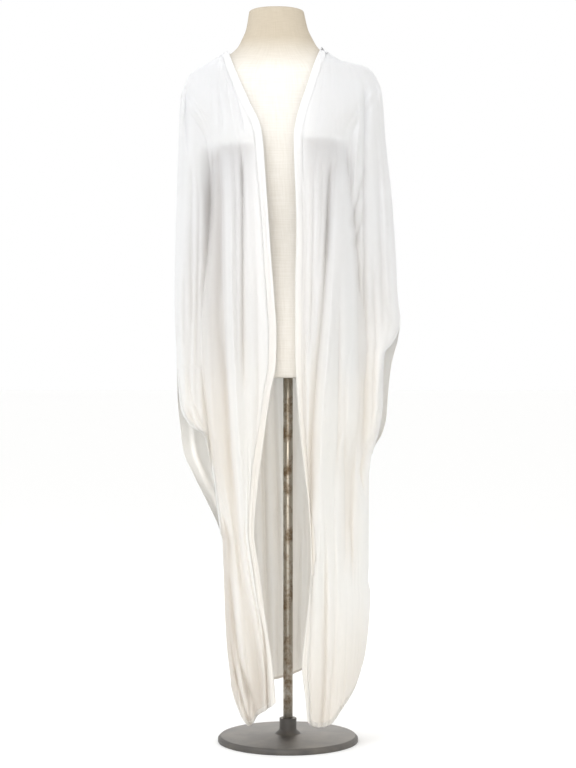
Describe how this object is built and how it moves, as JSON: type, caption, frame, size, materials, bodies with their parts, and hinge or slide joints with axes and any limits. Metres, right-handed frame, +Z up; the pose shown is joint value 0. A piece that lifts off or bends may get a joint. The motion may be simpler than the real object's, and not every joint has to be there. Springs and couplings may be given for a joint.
{
  "type": "kimono coat on a dress form",
  "caption": "Long open-front kimono coat in thin white crepe with batwing sleeves, hanging on a limbless dress form on a pole with a round foot.",
  "frame": {"origin": "centre of the foot's underside, on the floor under the pole", "axes": "+Z up along the pole, -Y the way the coat's front faces, -X the wearer's right"},
  "size_m": [0.4502, 0.28, 1.464],
  "materials": {
    "crepe": "thin white crepe, plain weave with a fine crinkle",
    "crepe_band": "the same white crepe, doubled and pressed flat",
    "linen": "natural linen stretched over a padded form",
    "pole_steel": "worn steel tube with brown patches",
    "base_iron": "dark painted cast iron"
  },
  "bodies": {
    "root": {"front_right": "crepe", "front_left": "crepe", "back_panel": "crepe", "neck_band": "crepe_band", "form_torso": "linen", "form_pole": "pole_steel", "form_base": "base_iron"}
  },
  "joints": []
}
